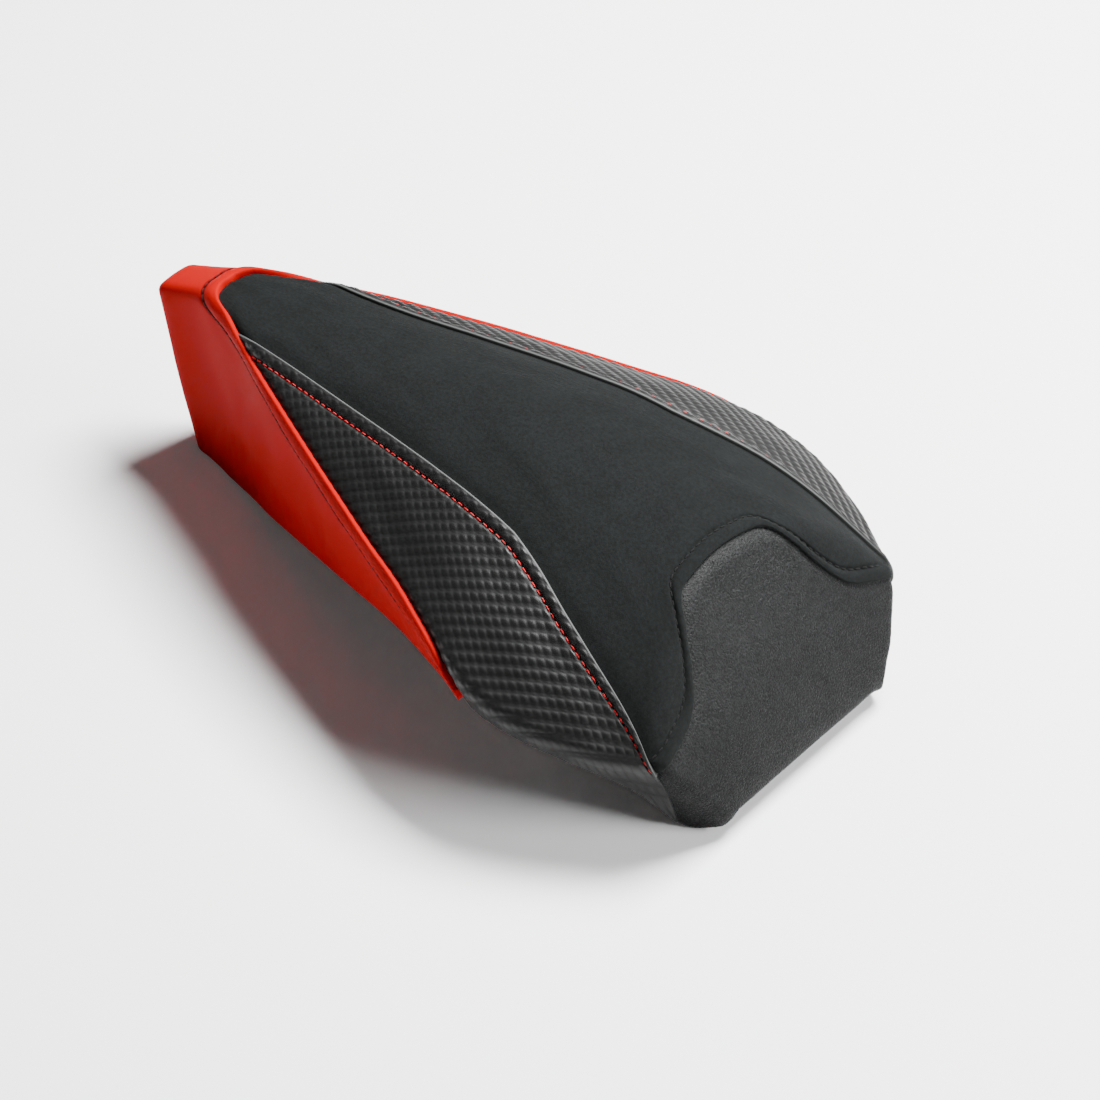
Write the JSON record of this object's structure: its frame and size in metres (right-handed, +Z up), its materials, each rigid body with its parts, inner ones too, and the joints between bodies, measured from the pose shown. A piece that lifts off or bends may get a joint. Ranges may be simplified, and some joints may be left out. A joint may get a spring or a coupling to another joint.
{
  "type": "motorcycle passenger seat",
  "caption": "Wedge-shaped motorcycle passenger seat with stitched multi-panel cover over foam, moulded pan, latch pin, hooks and rubber bumpers.",
  "frame": {"origin": "middle of the seat's footprint, on the surface that it stands on", "axes": "+X forwards, from the narrow tail to the wide front; +Y left; +Z up"},
  "size_m": [0.3659, 0.212, 0.1115],
  "materials": {
    "pan_plastic": "matt black moulded polypropylene, fine spark texture",
    "foam": "moulded polyurethane foam",
    "suede": "black brushed microfibre suede",
    "woven_vinyl": "black vinyl embossed with a twill weave, satin",
    "red_vinyl": "smooth red vinyl, soft satin",
    "grip_vinyl": "black anti-slip vinyl, coarse pebble grain",
    "red_thread": "bonded polyester thread",
    "dark_red_thread": "bonded polyester thread",
    "black_thread": "bonded polyester thread",
    "bumper_rubber": "matt black moulded rubber",
    "black_steel": "black e-coated steel",
    "zinc_steel": "clear zinc plating",
    "staple_wire": "galvanised wire"
  },
  "bodies": {
    "root": {"seat_pan": "pan_plastic", "foam_cushion": "foam", "cover_centre": "suede", "cover_side_right": "woven_vinyl", "cover_side_left": "woven_vinyl", "cover_tail": "red_vinyl", "cover_front": "grip_vinyl", "stitch_side_right": "red_thread", "stitch_side_left": "red_thread", "stitch_tail": "dark_red_thread", "stitch_front": "black_thread", "bumper_rear_left": "bumper_rubber", "bumper_rear_right": "bumper_rubber", "bumper_front_left": "bumper_rubber", "bumper_front_right": "bumper_rubber", "latch_plate": "black_steel", "latch_pin": "zinc_steel", "latch_washer": "zinc_steel", "latch_nut": "zinc_steel", "hook_left": "black_steel", "hook_right": "black_steel", "hook_screws": "zinc_steel", "cover_staples": "staple_wire"}
  },
  "joints": []
}
